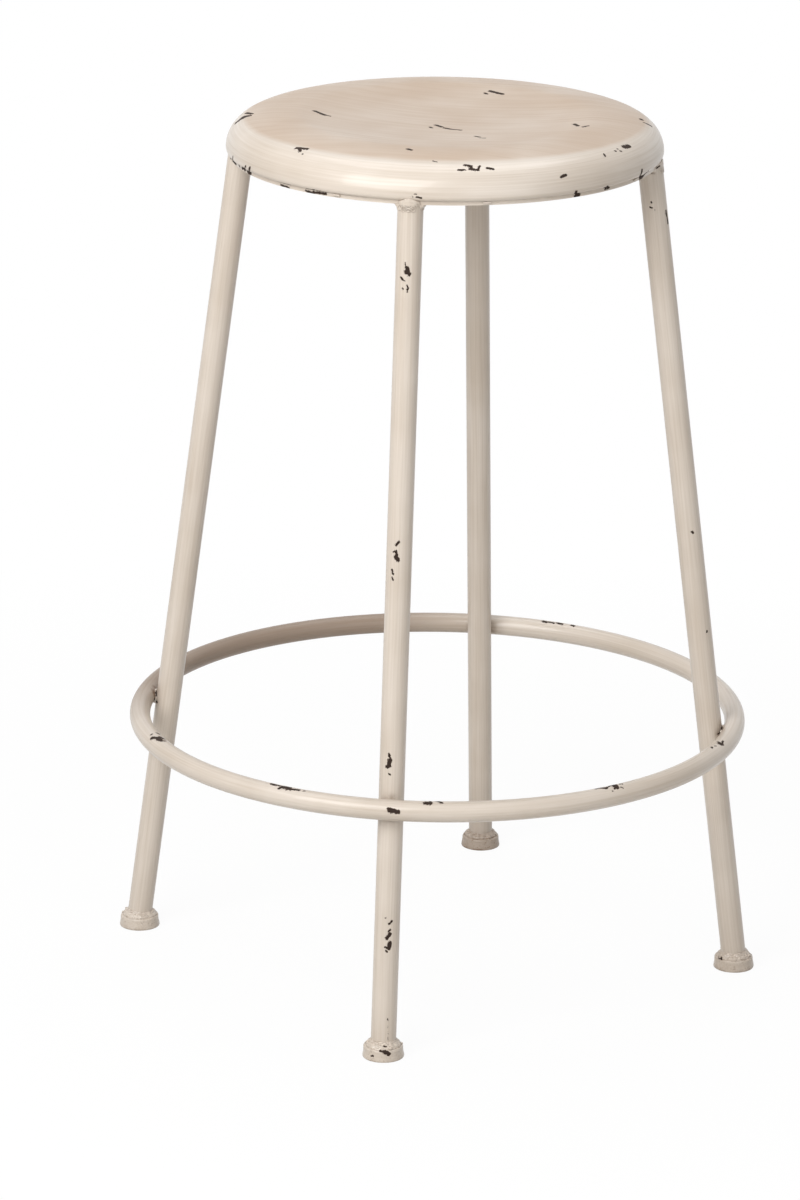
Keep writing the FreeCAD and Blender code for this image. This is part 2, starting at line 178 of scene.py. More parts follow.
def make_floor():
    """A wide white sheet under the stool."""
    material = bpy.data.materials.new("studio paper")
    tree = emptied(material)
    place = add(tree, "ShaderNodeTexCoord").outputs["Object"]
    away = add(tree, VECTORS, {0: place}, operation="LENGTH").outputs["Value"]
    strength = add(tree, MAP_RANGE, {0: away, 1: SHADOW_REACH, 2: SHADOW_END, 3: GLOW_NEAR, 4: GLOW_FAR})
    seen = seen_directly(tree)
    glow = add(tree, MATH, {0: seen, 1: strength}, operation="MULTIPLY")
    tone = add(tree, MIX, {0: seen, 6: PAPER_BOUNCE, 7: PAPER_LIT}, data_type="RGBA")
    paper = add(tree, "ShaderNodeBsdfDiffuse", {"Color": tone.outputs[2]})
    white = add(tree, "ShaderNodeEmission", {"Color": WHITE, "Strength": 1.0})
    mixed = add(tree, "ShaderNodeMixShader", {0: glow, 1: paper, 2: white})
    add(tree, "ShaderNodeOutputMaterial", {"Surface": mixed})
    signs = ((-1, -1), (1, -1), (1, 1), (-1, 1))
    corners = [(x * FLOOR_HALF, y * FLOOR_HALF, FLOOR_LEVEL) for x, y in signs]
    mesh = bpy.data.meshes.new("floor")
    mesh.from_pydata(corners, [], [(0, 1, 2, 3)])
    mesh.materials.append(material)
    new_object("floor", mesh)


def make_world():
    """White to look at, and a soft light from all round at a set strength."""
    world = bpy.data.worlds.new("white tent")
    tree = emptied(world)
    tent = add(tree, "ShaderNodeBackground", {"Color": WHITE, "Strength": TENT_LIGHT})
    white = add(tree, "ShaderNodeBackground", {"Color": WHITE, "Strength": 1.0})
    mixed = add(tree, "ShaderNodeMixShader", {0: seen_directly(tree), 1: tent, 2: white})
    add(tree, "ShaderNodeOutputWorld", {"Surface": mixed})
    bpy.context.scene.world = world


make_floor()
make_world()
bpy.context.scene.view_settings.view_transform = "Standard"
print("floor and world made")

# %% [markdown]
# Three soft boxes shape the tubes. The key is two metres wide, in front of the stool and to the
# left, so a broad soft highlight lies over the left half of each leg. A weak one fills from the
# right. The third hangs over the stool, a little behind it: the rolled shoulder of the seat
# mirrors it to the camera and the dish doesn't, so the edge of the dish reads as a crisp line.

# %% The lamps
LAMP_AIM = Vector((0, 0, 0.5))
LAMPS = {
    # name: degrees round from the camera, height, distance, width, watts
    "key": (-33, 2.0, 2.3, 2.0, 66),
    "fill": (28, 1.4, 2.8, 1.8, 13),
    "over": (180, 3.3, 0.9, 2.4, 34),
}
for name, (round_from_camera, height, distance, width, watts) in LAMPS.items():
    bearing = CAMERA_BEARING + math.radians(round_from_camera)
    place = Vector((distance * math.cos(bearing), distance * math.sin(bearing), height))
    lamp_data = bpy.data.lights.new(name, "AREA")
    lamp_data.size = width
    lamp_data.energy = watts
    facing = (place - LAMP_AIM).to_track_quat("Z", "Y").to_matrix().to_4x4()
    new_object(name, lamp_data).matrix_world = Matrix.Translation(place) @ facing
print("lamps:", ", ".join(LAMPS))

# %% [markdown]
# The finish follows the pieces, so their places are read from the frame first. A leg's middle
# line runs from the middle of its foot up to the seat ring. The boxes round the foot and the leg
# give both ends, because the four legs stand on the diagonals.


# %% Where the pieces are
def middle_of(node):
    """The middle of the box round a piece of the frame."""
    low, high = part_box(node)
    return (Vector(low) + Vector(high)) / 2


def leg_line(side):
    """The two ends of a leg's middle line, at its foot and at the seat ring."""
    foot = middle_of(f"foot_{side}")
    low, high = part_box(f"leg_{side}")
    outer = max(abs(low[0]), abs(high[0]))
    inner = min(abs(low[0]), abs(high[0]))
    half_width = outer - abs(foot.x)
    top = (inner + half_width) / abs(foot.x)
    return Vector((foot.x, foot.y, low[2])), Vector((foot.x * top, foot.y * top, high[2]))


LEG_LINES = {side: leg_line(side) for side in SIDES}
RING_HEIGHT = middle_of("foot_ring").z
RING_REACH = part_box("foot_ring")[1][0]
SEAT_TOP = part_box("seat_pan")[1][2]
SEAT_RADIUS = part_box("seat_pan")[1][0]
for side, (low, high) in LEG_LINES.items():
    print(side, "leg from", [round(v, 4) for v in low], "to", [round(v, 4) for v in high])

# %% [markdown]
# The enamel is chipped through to dark steel. Loose flakes of geometry would be as fine as dust,
# and an image isn't used here, so each chip is a short stroke in the material: two ends and a
# width. The strokes that the photograph shows are named by the pixels of their ends, and a line
# of sight from the camera finds where each end lies on its piece. A chip on a face that looks up
# is seen at a slant and looks narrower than it is, so it is widened there.

# %% Chips that the photograph shows
CHIPS_ALONG_HEM = [
    # from a pixel's x and y to another's, and the width in mm
    (233, 157, 233, 161, 2.0), (232, 160, 236, 164, 2.6), (239, 165, 240, 167, 1.4),
    (242, 168, 245, 169, 1.9), (246, 166, 245, 169, 1.4), (250, 168, 250, 172, 2.1),
    (281, 185, 284, 186, 1.5), (285, 186, 289, 188, 1.2), (306, 191, 314, 193, 1.4),
    (313, 192, 326, 194, 1.8), (416, 197, 421, 198, 1.5), (576, 192, 577, 196, 2.3),
    (605, 189, 606, 188, 1.7), (607, 186, 608, 187, 1.4), (642, 170, 640, 175, 2.3),
    (640, 175, 640, 178, 1.6), (657, 168, 660, 166, 1.0),
]
CREVICE_LEFT = [(156, 691, 156, 696, 1.3), (154, 699, 157, 702, 2.0)]
CREVICE_RIGHT = [(722, 727, 718, 734, 1.5)]
CHIPS_IN_PHOTO = {
    # piece: chips, written the same way
    "seat_pan": [
        (237, 122, 245, 117, 2.4), (243, 117, 249, 116, 1.8), (246, 113, 252, 114, 1.2),
        (315, 111, 325, 115, 1.6), (326, 115, 330, 116, 0.9), (297, 148, 307, 149, 1.8),
        (300, 148, 300, 151, 1.5), (302, 154, 303, 154, 0.7), (490, 91, 502, 94, 1.7),
        (485, 93, 487, 94, 1.1), (436, 125, 442, 127, 1.3), (445, 128, 450, 129, 1.3),
        (450, 129, 461, 130, 1.0), (430, 127, 432, 128, 0.9), (475, 136, 480, 137, 0.9),
        (481, 138, 485, 138, 0.8), (408, 149, 411, 150, 1.3), (433, 161, 437, 162, 0.7),
        (465, 165, 471, 166, 1.7), (471, 166, 471, 169, 1.6), (470, 169, 478, 170, 1.7),
        (478, 169, 480, 166, 1.3), (459, 170, 465, 170, 1.3), (487, 168, 493, 169, 1.6),
        (414, 194, 416, 194, 0.8), (412, 196, 413, 197, 0.7), (574, 124, 578, 126, 1.2),
        (583, 127, 588, 126, 1.1), (641, 119, 642, 120, 1.2), (645, 123, 651, 126, 1.2),
        (624, 147, 629, 146, 2.2), (615, 151, 616, 151, 0.9), (620, 151, 621, 151, 1.0),
        (617, 149, 618, 149, 0.7), (604, 154, 605, 156, 1.1), (561, 177, 566, 175, 1.8),
        (644, 174, 648, 171, 1.4),
        *CHIPS_ALONG_HEM,
    ],
    "seat_ring": CHIPS_ALONG_HEM,
    "seat_weld_right": CHIPS_ALONG_HEM[-3:],
    "leg_front": [
        (405, 263, 406, 268, 1.0), (407, 268, 408, 271, 2.8), (406, 272, 409, 274, 3.0),
        (401, 277, 403, 280, 1.4), (403, 280, 405, 281, 0.9), (402, 288, 403, 289, 1.1),
        (407, 285, 408, 288, 1.0), (408, 288, 407, 292, 1.3), (396, 545, 399, 542, 1.7),
        (393, 552, 396, 551, 1.1), (396, 551, 397, 555, 1.8), (396, 557, 398, 560, 3.0),
        (392, 570, 393, 574, 1.6), (392, 577, 393, 580, 1.1), (389, 754, 390, 757, 1.7),
        (390, 760, 388, 766, 3.0), (390, 762, 390, 766, 1.9), (386, 766, 387, 768, 1.1),
        (389, 774, 390, 775, 1.5), (385, 918, 386, 918, 0.9), (389, 924, 392, 921, 1.5),
        (389, 931, 390, 930, 1.6), (387, 938, 390, 934, 2.6), (390, 943, 389, 948, 2.9),
        (385, 947, 388, 948, 1.6), (386, 951, 387, 952, 1.4), (388, 1019, 388, 1021, 0.7),
        (388, 1026, 388, 1028, 0.3), (388, 1032, 388, 1034, 0.3), (388, 1037, 388, 1041, 0.5),
    ],
    "leg_right": [
        (651, 202, 652, 203, 0.8), (650, 207, 652, 208, 1.0), (655, 210, 655, 211, 0.7),
        (666, 211, 668, 223, 1.7), (692, 532, 693, 533, 1.8), (707, 631, 707, 632, 1.4),
        *CREVICE_RIGHT,
    ],
    "leg_left": CREVICE_LEFT,
    "ring_weld_left": CREVICE_LEFT,
    "ring_weld_right": CREVICE_RIGHT,
    "foot_ring": [
        (151, 735, 152, 734, 1.0), (157, 733, 159, 734, 0.9), (152, 738, 158, 738, 2.0),
        (158, 738, 160, 740, 2.2), (160, 737, 164, 739, 1.3), (161, 741, 165, 741, 1.3),
        (272, 784, 276, 785, 1.5), (277, 785, 281, 786, 0.8), (280, 788, 284, 787, 2.2),
        (284, 787, 289, 788, 2.6), (289, 789, 299, 790, 1.6), (304, 791, 305, 791, 0.8),
        (389, 810, 393, 811, 3.4), (394, 811, 398, 812, 3.2), (426, 803, 430, 803, 2.8),
        (430, 802, 431, 801, 1.1), (435, 801, 442, 803, 1.0), (595, 789, 600, 788, 0.8),
        (602, 788, 606, 788, 1.4), (606, 788, 610, 786, 1.0), (610, 785, 613, 785, 0.9),
        (614, 785, 616, 787, 2.0), (620, 784, 622, 784, 0.9), (621, 787, 623, 788, 0.8),
        (612, 791, 613, 791, 0.9), (718, 742, 720, 743, 1.3), (720, 744, 722, 744, 2.0),
        (722, 744, 723, 741, 1.0), (712, 747, 712, 748, 0.8), (715, 746, 716, 746, 0.7),
        (543, 621, 546, 622, 1.6), (549, 622, 554, 623, 1.2), (558, 623, 562, 624, 1.6),
        (572, 625, 574, 626, 1.2), *CREVICE_LEFT, *CREVICE_RIGHT,
    ],
    "foot_front": [
        (380, 1051, 384, 1051, 1.1), (385, 1052, 389, 1054, 3.0), (371, 1056, 373, 1056, 1.4),
    ],
    "foot_weld_front": [(384, 1046, 386, 1046, 1.2)],
    "foot_right": [(720, 958, 722, 959, 1.3)],
    "foot_weld_right": [(737, 957, 738, 957, 0.6)],
}
CHIP_SPREAD = 1.1
SLANT_SHARE = 0.6
FACES_UP = 0.75
LEAST_SQUARE = 0.25
MISS_REACH, MISS_STEP = 0.45, 0.005


def surface_of(node):
    """A search tree over the faces of a piece of the frame."""
    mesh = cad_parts[node].data
    return BVHTree.FromPolygons([v.co for v in mesh.vertices], [p.vertices for p in mesh.polygons])


def sight(x, y):
    """The direction from the camera through a pixel of the photograph."""
    across = (x - PHOTO_WIDTH / 2) / FOCAL_PIXELS
    upward = (PHOTO_HEIGHT / 2 - y) / FOCAL_PIXELS
    return (ahead + right * across + up * upward).normalized()


def first_met(surface, direction):
    """Where a line of sight meets a surface, or the surface's nearest point if it just misses,
    and how squarely it meets a face that looks up, or 1 on any other face."""
    place, normal, _, _ = surface.ray_cast(camera_place, direction)
    if place is None:
        steps = int(2 * MISS_REACH / MISS_STEP)
        distances = [camera_place.length - MISS_REACH + MISS_STEP * step for step in range(steps)]
        near = [surface.find_nearest(camera_place + direction * distance) for distance in distances]
        place, normal, _, _ = min(near, key=lambda found: found[3])
    return place, max(abs(normal.dot(direction)), LEAST_SQUARE) if normal.z > FACES_UP else 1.0


chips = {}
for node, strokes in CHIPS_IN_PHOTO.items():
    surface = surface_of(node)
    chips[node] = []
    for first_x, first_y, last_x, last_y, width in strokes:
        start, squareness = first_met(surface, sight(first_x, first_y))
        end, _ = first_met(surface, sight(last_x, last_y))
        chips[node].append((start, end, width * CHIP_SPREAD * MM / squareness ** SLANT_SHARE))
print("chips that the photograph shows:", sum(len(strokes) for strokes in chips.values()))

# %% [markdown]
# The far side of the stool isn't in the photograph, but it was knocked about just as much. A
# seeded loop aims lines of sight at it from behind and puts chips of the same sizes where they
# meet the legs, the hoop and the rim. Random numbers without a seed would give another stool at
# each run.

# %% Chips on the sides that the photograph doesn't show
BEHIND = CAMERA_BEARING + math.pi
BEHIND_SPREAD = math.radians(75)
FAR_CHIPS = {
    "seat_pan": 12, "leg_back": 7, "leg_left": 6, "leg_right": 6, "leg_front": 5, "foot_ring": 12,
}
LEG_STRETCH = (0.04, 0.97)
HOOP_AIM = 0.967
RIM_AIM, RIM_HEIGHTS = 0.9, (0.972, 0.99)
SIGHT_SHARE, SIGHT_RISES = 0.6, (0.0, 0.6)
CHIPS_AT_A_SPOT = (1, 1, 2, 3)
SPOT_SPREAD, STROKE_SPREAD = 3.0 * MM, 2.2 * MM
FAR_WIDTHS = (0.8, 2.4)
dice = random.Random(11)


def far_aim(node):
    """A point of a piece's middle, to look at from behind."""
    if node.startswith("leg_"):
        low, high = LEG_LINES[node.removeprefix("leg_")]
        return low.lerp(high, dice.uniform(*LEG_STRETCH))
    angle = BEHIND + dice.uniform(-BEHIND_SPREAD, BEHIND_SPREAD)
    if node == "foot_ring":
        return Vector((RING_REACH * math.cos(angle), RING_REACH * math.sin(angle), RING_HEIGHT)) * HOOP_AIM
    height = dice.uniform(*RIM_HEIGHTS) * SEAT_TOP
    reach = SEAT_RADIUS * RIM_AIM
    return Vector((reach * math.cos(angle), reach * math.sin(angle), height))


for node, count in FAR_CHIPS.items():
    surface = surface_of(node)
    for _ in range(count):
        aim = far_aim(node)
        view_angle = BEHIND + dice.uniform(-BEHIND_SPREAD, BEHIND_SPREAD) * SIGHT_SHARE
        if not node.startswith("leg_"):
            view_angle = math.atan2(aim.y, aim.x)
        start = aim + Vector((math.cos(view_angle), math.sin(view_angle), dice.uniform(*SIGHT_RISES)))
        hit = surface.ray_cast(start, (aim - start).normalized())[0]
        if hit is None:
            continue
        for _ in range(dice.choice(CHIPS_AT_A_SPOT)):
            shift = Vector([dice.gauss(0, SPOT_SPREAD) for _ in range(3)])
            stroke = Vector([dice.gauss(0, STROKE_SPREAD) for _ in range(3)])
            first = surface.find_nearest(hit + shift)[0]
            last = surface.find_nearest(hit + shift + stroke)[0]
            chips.setdefault(node, []).append((first, last, dice.uniform(*FAR_WIDTHS) * MM))
print("chips in all:", {node: len(strokes) for node, strokes in chips.items()})

# %% [markdown]
# One node group draws a stroke: it gives 1 on the stroke's line and falls to 0 at half its width.
# The nearest point of the line comes from how far along it a point lies, held between its ends.
# A group keeps the material readable, because the same few nodes are used for every chip.


# %% The node group for one chip
def new_tree(name, kind, output, output_kind, **inputs):
    """An empty node tree with one output, and inputs by name and kind."""
    tree = bpy.data.node_groups.new(name, kind)
    tree.interface.new_socket(output, in_out="OUTPUT", socket_type=f"NodeSocket{output_kind}")
    for label, input_kind in inputs.items():
        tree.interface.new_socket(label.replace("_", " "), socket_type=f"NodeSocket{input_kind}")
    return tree


def make_chip_group():
    group = new_tree("paint chip", "ShaderNodeTree", "Depth", "Float", Point="Vector",
                     Start="Vector", Along="Vector", Share="Vector", Half_width="Float")
    given = add(group, "NodeGroupInput").outputs
    from_start = add(group, VECTORS, {0: given["Point"], 1: given["Start"]}, operation="SUBTRACT")
    how_far = add(group, VECTORS, {0: from_start, 1: given["Share"]}, operation="DOT_PRODUCT")
    held = add(group, "ShaderNodeClamp", {0: how_far.outputs["Value"]})
    on_line = add(group, VECTORS, {0: given["Along"], "Scale": held}, operation="SCALE")
    off_line = add(group, VECTORS, {0: from_start, 1: on_line}, operation="DISTANCE")
    widths = add(group, MATH, {0: off_line.outputs["Value"], 1: given["Half width"]}, operation="DIVIDE")
    depth = add(group, MATH, {0: 1.0, 1: widths}, operation="SUBTRACT")
    add(group, "NodeGroupOutput", {"Depth": depth})
    return group


chip_group = make_chip_group()
SHORTEST_CHIP = 0.1 * MM


def chip_field(tree, point, strokes):
    """How deep a point lies in the deepest of some chips, as a socket."""
    deepest = add(tree, "ShaderNodeValue")
    deepest.outputs[0].default_value = -1.0
    for start, end, width in strokes:
        along = end - start
        if along.length < SHORTEST_CHIP:
            along = Vector((0, 0, SHORTEST_CHIP))
        chip = add(tree, "ShaderNodeGroup", node_tree=chip_group)
        tree.links.new(source_of(point), chip.inputs["Point"])
        chip.inputs["Start"].default_value = start
        chip.inputs["Along"].default_value = along
        chip.inputs["Share"].default_value = along / along.length_squared
        chip.inputs["Half width"].default_value = width / 2
        deepest = add(tree, MATH, {0: deepest, 1: chip}, operation="MAXIMUM")
    return deepest


print("chip group made")

# %% [markdown]
# The enamel was laid on with a brush, and its bristles leave fine streaks: down a leg, round the
# hoop and the rim, and straight across the dish. A streak is noise that is stretched one way. On
# a leg the coordinates are turned until the leg is upright and then squeezed. Round the hoop an
# angle would leave a visible join, so four-dimensional noise is used instead: it changes fast
# with the distance from the axis and with height, and slowly with the place round the hoop.

# %% The ways a brush went
BRISTLE_MM = 1.4
STROKE_MM = 95
DISH_STROKES = math.radians(78)
# The dish and its painted shade end at this radius, with the dish's middle moved away from the camera
DISH_EDGE_RADIUS = SEAT_RADIUS - 13 * MM
DISH_OFF_CENTRE = 10 * MM
DISH_EDGE_FADE = 3 * MM


def streak_noise(tree, vector, fourth=0.0):
    """Bristle marks from coordinates that are already squeezed across the stroke."""
    return add(tree, NOISE, {"Vector": vector, "W": fourth, "Scale": 1.0, "Detail": 3.0, "Roughness": 0.6},
               noise_dimensions="4D")


def along_leg(side):
    """Brushed from end to end of a leg."""
    low, high = LEG_LINES[side]
    turn = (high - low).to_track_quat("Z", "Y").inverted().to_euler()

    def build(tree, place):
        upright = add(tree, "ShaderNodeMapping", {"Vector": place, "Rotation": turn})
        squeezed = add(tree, VECTORS, {0: upright, 1: (per(BRISTLE_MM), per(BRISTLE_MM), per(STROKE_MM))},
                       operation="MULTIPLY")
        return streak_noise(tree, squeezed)
    return build


def out_from_axis(tree, place):
    """How far a point lies from the middle line of the stool."""
    flat = add(tree, VECTORS, {0: place, 1: (1, 1, 0)}, operation="MULTIPLY")
    return add(tree, VECTORS, {0: flat}, operation="LENGTH").outputs["Value"]


def round_axis(tree, place):
    """Brushed round the middle of the stool."""
    parts = add(tree, "ShaderNodeSeparateXYZ", {0: place}).outputs
    mixed = add(tree, "ShaderNodeCombineXYZ", {0: out_from_axis(tree, place), 1: parts[2], 2: parts[0]})
    squeezed = add(tree, VECTORS, {0: mixed, 1: (per(BRISTLE_MM), per(BRISTLE_MM), per(STROKE_MM))},
                   operation="MULTIPLY")
    fourth = add(tree, MATH, {0: parts[1], 1: per(STROKE_MM)}, operation="MULTIPLY")
    return streak_noise(tree, squeezed, fourth)


def inside_dish(tree, place):
    """1 over the dish, which gets painted shade and less gloss, and 0 on the front of its shoulder."""
    middle = Vector((-math.cos(CAMERA_BEARING), -math.sin(CAMERA_BEARING), 0)) * DISH_OFF_CENTRE
    moved = add(tree, VECTORS, {0: place, 1: middle}, operation="SUBTRACT")
    return add(tree, MAP_RANGE,
               {0: out_from_axis(tree, moved), 1: DISH_EDGE_RADIUS + DISH_EDGE_FADE, 2: DISH_EDGE_RADIUS - DISH_EDGE_FADE})


def over_seat(tree, place):
    """Brushed straight across the dish, and round the shoulder outside it."""
    turned = add(tree, "ShaderNodeMapping",
                 {"Vector": place, "Rotation": (0, 0, -CAMERA_BEARING - DISH_STROKES)})
    squeezed = add(tree, VECTORS, {0: turned, 1: (per(STROKE_MM), per(3 * BRISTLE_MM), per(STROKE_MM))},
                   operation="MULTIPLY")
    across = streak_noise(tree, squeezed)
    return add(tree, MIX,
               {0: inside_dish(tree, place), 2: round_axis(tree, place), 3: across}, data_type="FLOAT")


print("bristle marks", BRISTLE_MM, "mm wide and", STROKE_MM, "mm long")

# %% [markdown]
# Brushed gloss enamel over steel, aged with a thin brown glaze that was wiped off and stayed in
# the corners. To the eye that is a warm cream with a clear shine, faint lengthwise streaks,
# beige-brown where two pieces meet, and small chips with crisp ragged edges that show dark steel
# with a little rust. The base is a Principled shader with a coat for the gloss. The glaze could
# be painted by hand, but an Ambient Occlusion node finds the corners by itself.

# %% The enamel
CREAM = linear("D9CEC2")
CREAM_DEEP = linear("C6B8A8")
# The dish's colour is painted shade
CREAM_DISH_SHADE = linear("B89F87")
GLAZE = linear("7A624D")
STEEL_DARK = linear("28190F")
RUST = linear("45301F")
ENAMEL_IOR = 1.5
CORNER_REACH = 8 * MM
PATCH_MM, MOTTLE_MM, PIT_MM, RAGGED_MM = 70, 7, 1.8, 1.6
RAGGED_PUSH = 2.4 * MM
CHIP_DROP = 0.25 * MM
STREAK_HEIGHT = 0.03 * MM
SHINE = 0.35
COAT_ROUGHNESS, BARE_ROUGHNESS = 0.08, 0.9
# The hoop's far, left-hand side is painted browner, as real glaze and painted shade
STAIN_AND_SHADE_WAY = (math.cos(math.radians(98)), math.sin(math.radians(98)), 0)
FAR_STAIN_AND_SHADE_START, FAR_STAIN_AND_SHADE_FULL = 0.13, 0.2
# How high the brown near the floor reaches, real glaze and painted shade
LOW_STAIN_AND_SHADE_TOP, LOW_STAIN_AND_SHADE_FULL = 70 * MM, 10 * MM


def enamel(name, brush, strokes=(), corners=0.5, low_stain_and_shade=0.0, pits=0.0, dish_shade=0.0,
           far_stain_and_shade=0.0):
    """Brushed cream enamel. Brush draws the streaks. The corner and pit amounts say how much glaze
    stays in corners and in small pits, the low and far amounts how much glaze and painted shade lie
    near the floor and on the far side of the hoop, and the dish amount how much painted shade lies
    over the dish of the seat."""
    material = bpy.data.materials.new(name)
    tree = emptied(material)
    place = add(tree, "ShaderNodeTexCoord").outputs["Object"]

    # Streaks of the brush, and slow changes in how thick the paint lies
    streak = brush(tree, place)
    slow = add(tree, NOISE, {"Vector": place, "Scale": per(PATCH_MM), "Detail": 2.0})
    thin = add(tree, MAP_RANGE, {0: streak, 1: 0.4, 2: 0.7, 3: 0.0, 4: 0.6})
    patch = add(tree, MAP_RANGE, {0: slow, 1: 0.35, 2: 0.7, 3: 0.0, 4: 0.5})
    depth = add(tree, MATH, {0: thin, 1: patch}, operation="ADD", use_clamp=True)
    paint = add(tree, MIX, {0: depth, 6: CREAM, 7: CREAM_DEEP}, data_type="RGBA")

    # The dish: painted shade makes it darker and browner than its shoulder, and it is duller
    in_dish = add(tree, MATH, {0: inside_dish(tree, place), 1: dish_shade}, operation="MULTIPLY")
    blotch = add(tree, MAP_RANGE, {0: slow, 1: 0.35, 2: 0.65, 3: 0.75, 4: 1.15})
    # Painted shade over the dish, broken up by slow blotches
    worn = add(tree, MATH, {0: in_dish, 1: blotch}, operation="MULTIPLY")
    paint = add(tree, MIX, {0: worn, 6: paint.outputs[2], 7: CREAM_DISH_SHADE}, data_type="RGBA")

    # Glaze: wiped off the open faces, left in corners, near the floor, on the far side and in pits; near
    # the floor and on the far side it is painted shade too
    mottle = add(tree, NOISE, {"Vector": place, "Scale": per(MOTTLE_MM), "Detail": 5.0})
    uneven = add(tree, MAP_RANGE, {0: mottle, 1: 0.38, 2: 0.66, 3: 0.1, 4: 1.2})
    corner = add(tree, "ShaderNodeAmbientOcclusion", {"Distance": CORNER_REACH}, samples=8)
    hidden = add(tree, MAP_RANGE, {0: corner.outputs["AO"], 1: 0.9, 2: 0.35, 3: 0.0, 4: corners})
    height = add(tree, "ShaderNodeSeparateXYZ", {0: place}).outputs[2]
    # Real glaze and painted shade near the floor, most on the back foot
    low_stain_and_shade_ramp = add(tree, MAP_RANGE, {0: height, 1: LOW_STAIN_AND_SHADE_TOP, 2: LOW_STAIN_AND_SHADE_FULL, 3: 0.0, 4: low_stain_and_shade})
    glaze_and_shade = add(tree, MATH, {0: hidden, 1: uneven, 2: low_stain_and_shade_ramp}, operation="MULTIPLY_ADD")
    # Real glaze and painted shade on the far side of the hoop, which the lamps leave dark
    farness = add(tree, VECTORS, {0: place, 1: STAIN_AND_SHADE_WAY}, operation="DOT_PRODUCT")
    far_stain_and_shade_ramp = add(tree, MAP_RANGE,
                   {0: farness.outputs["Value"], 1: FAR_STAIN_AND_SHADE_START, 2: FAR_STAIN_AND_SHADE_FULL, 3: 0.0, 4: far_stain_and_shade})
    glaze_and_shade = add(tree, MATH, {0: glaze_and_shade, 1: far_stain_and_shade_ramp}, operation="ADD")
    pitted = add(tree, NOISE, {"Vector": place, "Scale": per(PIT_MM), "Detail": 2.0})
    pit = add(tree, MAP_RANGE, {0: pitted, 1: 0.6, 2: 0.68, 3: 0.0, 4: pits})
    glaze_and_shade = add(tree, MATH, {0: glaze_and_shade, 1: pit}, operation="ADD", use_clamp=True)
    aged_and_shaded = add(tree, MIX, {0: glaze_and_shade, 6: paint.outputs[2], 7: GLAZE}, data_type="RGBA")

    # Chips, pushed about and broken up along their edges
    ragged = add(tree, NOISE, {"Vector": place, "Scale": per(RAGGED_MM), "Detail": 3.0, "Roughness": 0.65})
    centred = add(tree, VECTORS, {0: ragged.outputs["Color"], 1: (0.5, 0.5, 0.5)}, operation="SUBTRACT")
    pushed = add(tree, VECTORS, {0: centred, 1: (RAGGED_PUSH,) * 3, 2: place}, operation="MULTIPLY_ADD")
    field = chip_field(tree, pushed, strokes)
    broken = add(tree, MATH, {0: ragged, 1: 0.5}, operation="SUBTRACT")
    field = add(tree, MATH, {0: broken, 1: 1.6, 2: field}, operation="MULTIPLY_ADD")
    chipped = add(tree, MAP_RANGE, {0: field, 1: -0.12, 2: 0.0, 3: 0.0, 4: 1.0})
    heart = add(tree, MAP_RANGE, {0: field, 1: -0.05, 2: 0.35, 3: 0.0, 4: 1.0})
    bare = add(tree, MIX, {0: heart, 6: RUST, 7: STEEL_DARK}, data_type="RGBA")
    colour = add(tree, MIX, {0: chipped, 6: aged_and_shaded.outputs[2], 7: bare.outputs[2]}, data_type="RGBA")

    # Relief and gloss: streaks stand a little proud, and a chip drops to dull steel
    sheen = add(tree, MAP_RANGE, {0: streak, 1: 0.3, 2: 0.7, 3: 0.3, 4: 0.45})
    dull = add(tree, MATH, {0: glaze_and_shade, 1: 0.35, 2: sheen}, operation="MULTIPLY_ADD")
    rough = add(tree, MIX, {0: chipped, 2: dull, 3: BARE_ROUGHNESS}, data_type="FLOAT")
    whole = add(tree, MATH, {0: 1.0, 1: chipped}, operation="SUBTRACT")
    gloss = add(tree, MAP_RANGE, {0: in_dish, 1: 0.0, 2: 0.6, 3: SHINE, 4: 0.0})
    coat = add(tree, MATH, {0: whole, 1: gloss}, operation="MULTIPLY")
    streak_bump = add(tree, "ShaderNodeBump",
                      {"Height": streak, "Strength": 0.3, "Distance": STREAK_HEIGHT})
    relief = add(tree, "ShaderNodeBump",
                 {"Height": whole, "Strength": 1.0, "Distance": CHIP_DROP, "Normal": streak_bump})
    shader = add(tree, "ShaderNodeBsdfPrincipled", {
        "Base Color": colour.outputs[2], "Roughness": rough.outputs[0], "Normal": relief,
        "Coat Weight": coat, "IOR": ENAMEL_IOR, "Coat Roughness": COAT_ROUGHNESS, "Coat IOR": ENAMEL_IOR,
    })
    add(tree, "ShaderNodeOutputMaterial", {"Surface": shader})
    return material


# The seat: glossy round its shoulder, duller over the dish, and painted shade makes the dish browner
seat_enamel = enamel("brushed cream enamel on the seat", over_seat, chips["seat_pan"],
                     corners=0.35, dish_shade=0.7)
# The seat's edge below the skirt: the same cream, with a thin brown line in its seam
trim_enamel = enamel("brushed cream enamel on the seat's trim", round_axis, chips["seat_ring"], corners=0.4)
# The hoop: streaks that run round it, and a browner stretch on its far side that is real glaze and painted
# shade
hoop_enamel = enamel("brushed cream enamel on the hoop", round_axis, chips["foot_ring"],
                     corners=0.7, far_stain_and_shade=0.75)
# The legs and feet: streaks from end to end, and more brown near the floor, real glaze and painted shade,
# most on the back foot
FOOT_STAIN_AND_SHADE = {"front": 0.0, "right": 0.2, "back": 0.55, "left": 0.08}
LEG_SHARE = 0.6
leg_enamel = {
    side: enamel(f"brushed cream enamel on the {side} leg", along_leg(side),
                 chips.get(f"leg_{side}", ()), corners=0.6, low_stain_and_shade=LEG_SHARE * FOOT_STAIN_AND_SHADE[side])
    for side in SIDES
}
foot_enamel = {
    side: enamel(f"worn cream enamel on the {side} foot", round_axis,
                 chips.get(f"foot_{side}", []) + chips.get(f"foot_weld_{side}", []),
                 corners=0.45, low_stain_and_shade=FOOT_STAIN_AND_SHADE[side], pits=0.3)
    for side in SIDES
}
